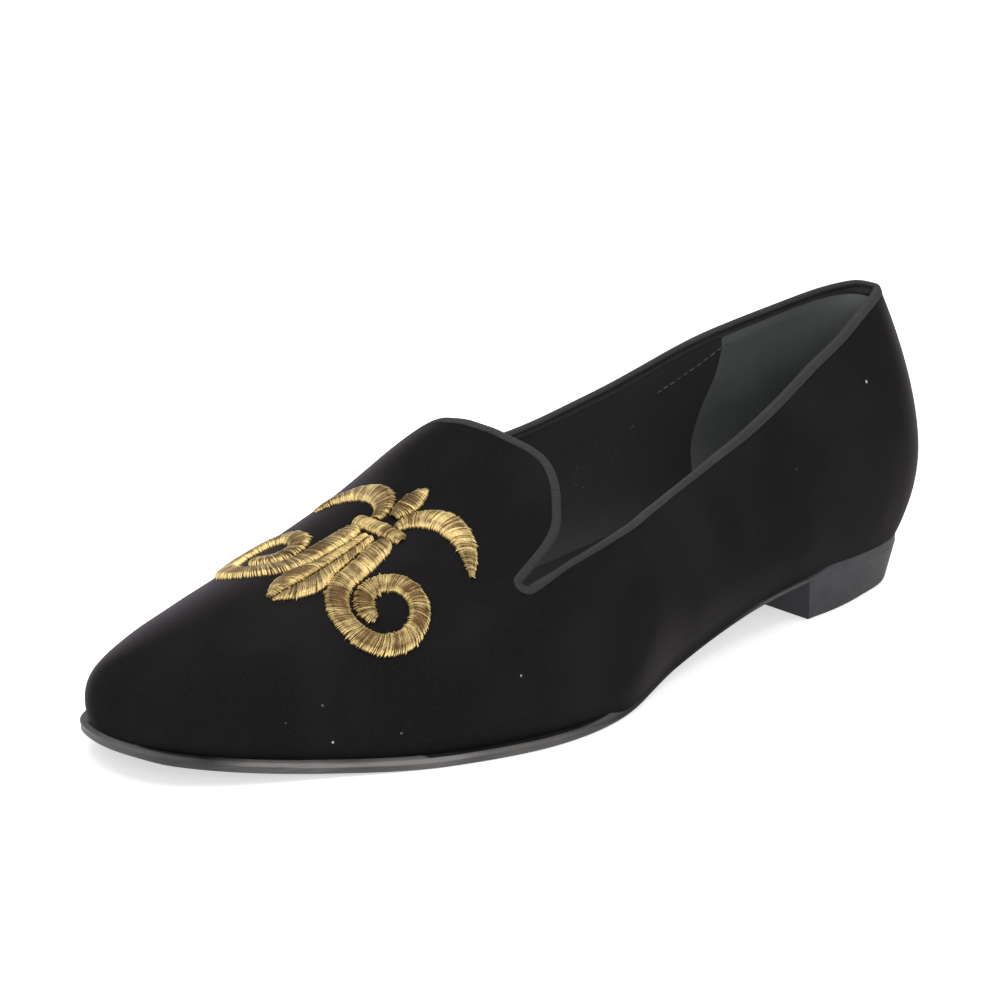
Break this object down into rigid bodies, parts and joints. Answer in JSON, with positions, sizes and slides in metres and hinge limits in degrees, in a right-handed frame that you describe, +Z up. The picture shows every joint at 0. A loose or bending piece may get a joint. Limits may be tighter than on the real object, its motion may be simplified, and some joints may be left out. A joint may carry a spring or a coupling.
{
  "type": "velvet slipper loafer",
  "caption": "Low-cut velvet slipper loafer for a woman's left foot, with a rounded tongue, bound topline, raised gold-thread embroidery, thin stepped sole and low block heel.",
  "frame": {"origin": "middle of the bounding box's foot, on the floor that the shoe stands on", "axes": "+X from the heel to the toe, +Y to the wearer's left (the outer side of this left shoe), +Z up"},
  "size_m": [0.2596, 0.0854, 0.0711],
  "materials": {
    "velvet": "short-pile black velvet",
    "binding": "black ribbed grosgrain tape",
    "outsole": "black leather, waxed edge",
    "heel": "glossy black lacquer",
    "insole": "smooth black leather",
    "gold_thread": "metallic gold satin stitch"
  },
  "bodies": {
    "root": {"upper": "velvet", "outsole": "outsole", "heel": "heel", "insole": "insole", "topline_binding": "binding", "embroidery_volute_outer": "gold_thread", "embroidery_volute_inner": "gold_thread", "embroidery_tail_outer": "gold_thread", "embroidery_tail_inner": "gold_thread", "embroidery_leaf_outer": "gold_thread", "embroidery_leaf_inner": "gold_thread", "embroidery_bud": "gold_thread", "embroidery_tie": "gold_thread"}
  },
  "joints": []
}
